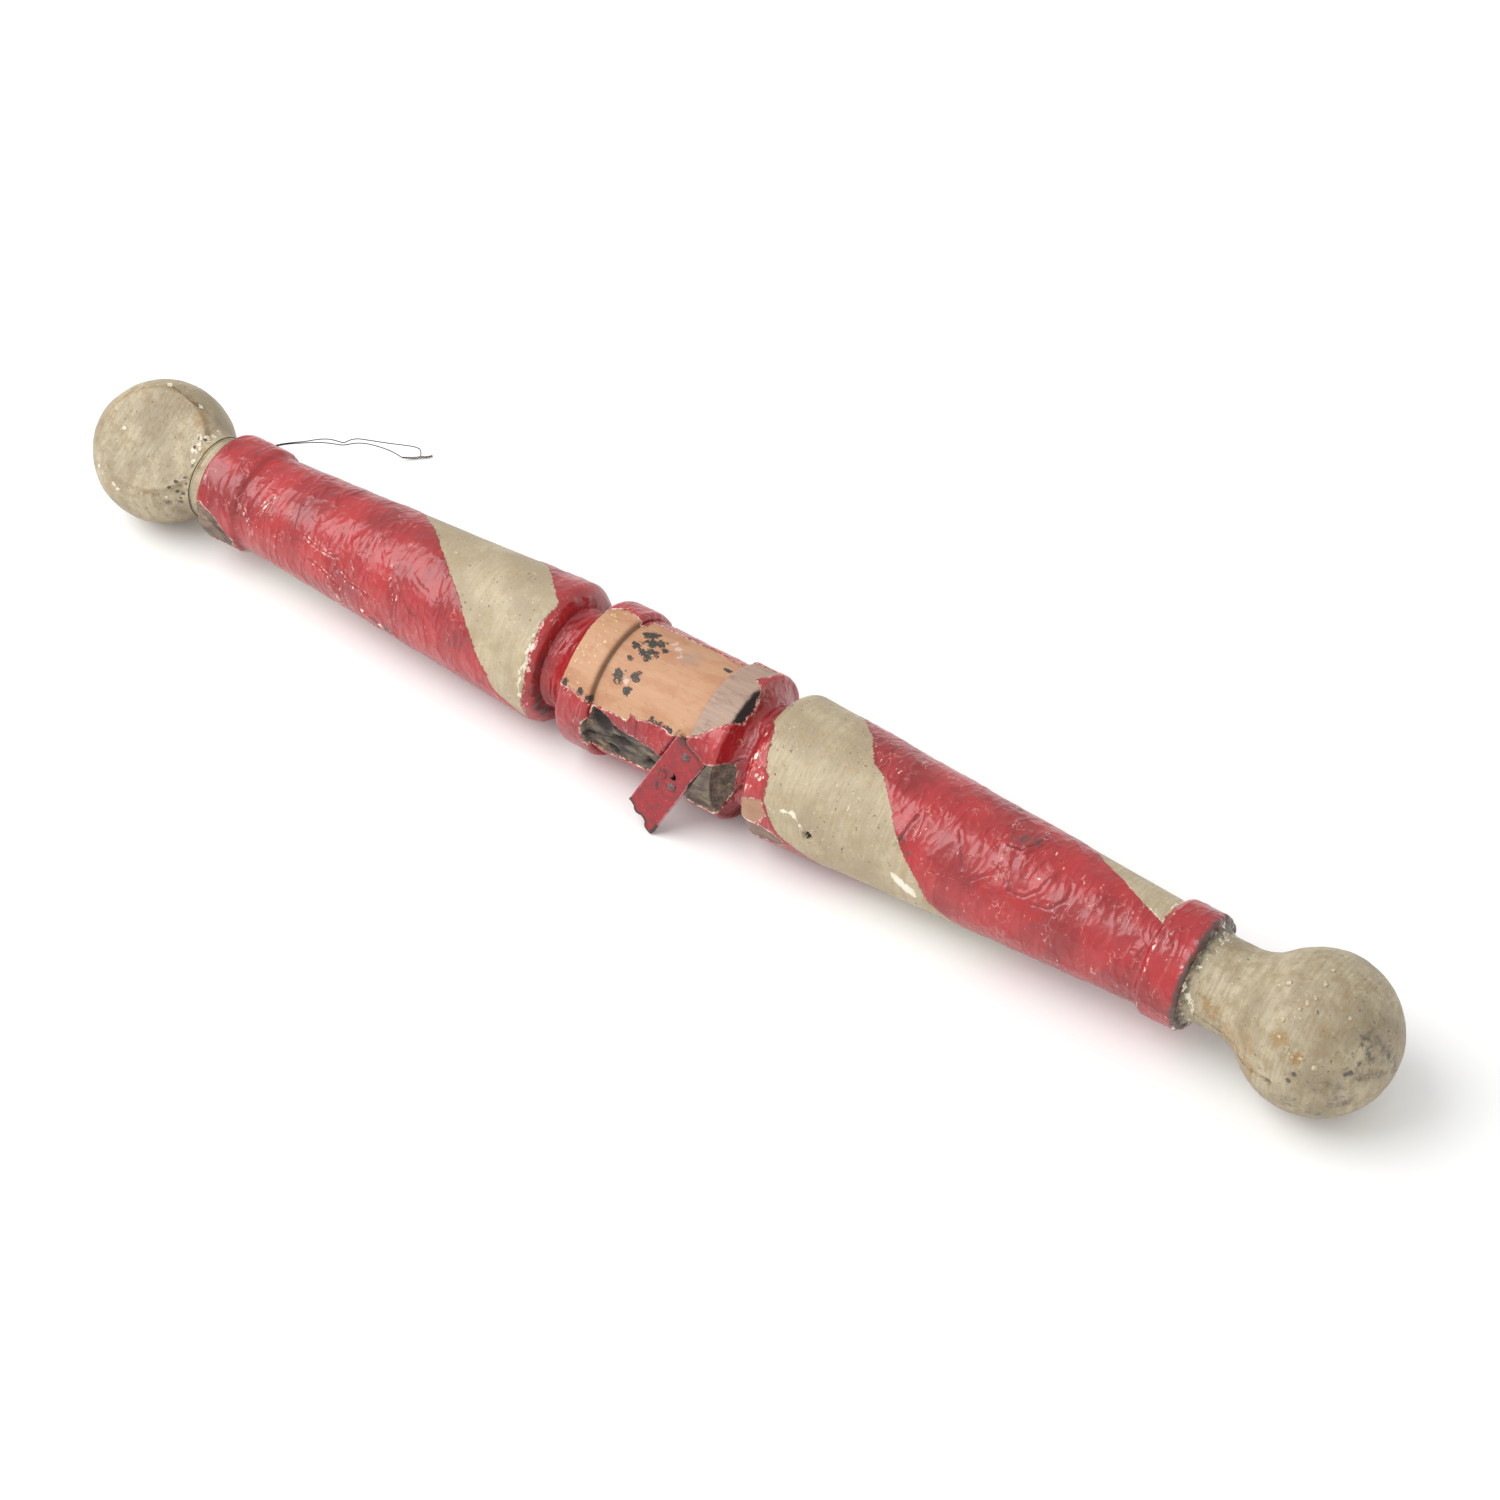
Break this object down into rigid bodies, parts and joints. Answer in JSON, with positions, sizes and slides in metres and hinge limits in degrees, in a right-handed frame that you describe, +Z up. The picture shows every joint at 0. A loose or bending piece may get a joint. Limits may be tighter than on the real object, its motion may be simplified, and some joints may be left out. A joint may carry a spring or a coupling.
{
  "type": "barber pole",
  "caption": "Turned wooden barber pole with ball ends, tapered shafts in spiral stripes, a ringed centre drum, an iron wall strap and a wire hanging loop.",
  "frame": {"origin": "middle of the pole's footprint (strap and both balls, without the hanging wire), on the surface it lies on", "axes": "+X along the pole from the left, flatted ball to the right ball; +Z up; the wall strap is on the -Y side"},
  "size_m": [0.9734, 0.2028, 0.099],
  "materials": {
    "cream_painted_wood": "matt aged cream paint over wood",
    "red_painted_wood": "thick glossy red paint over wood, with cream bands",
    "bare_wood": "bare aged softwood under flaking red paint",
    "painted_iron": "red painted wrought iron, chipped",
    "iron_nail": "dark rusted iron",
    "green_wire": "dull green tarnished wire",
    "iron_wire": "dark dull wire with a rusty end"
  },
  "bodies": {
    "pole": {"left_ball": "cream_painted_wood", "left_shaft": "red_painted_wood", "centre_drum": "bare_wood", "right_shaft": "red_painted_wood", "right_ball": "cream_painted_wood", "wall_strap": "painted_iron", "strap_nails": "iron_nail", "locking_nails": "iron_nail"},
    "hanger": {"neck_wire": "green_wire", "hanger_wire_upper": "iron_wire", "hanger_wire_lower": "iron_wire", "wire_twist": "iron_wire"}
  },
  "joints": [
    {"name": "hanger_swing", "type": "hinge", "parent": "pole", "child": "hanger", "pos_m": [-0.39025, 0.00507, 0.0495], "axis": [1, 0, 0], "range_deg": [0, 215]}
  ]
}
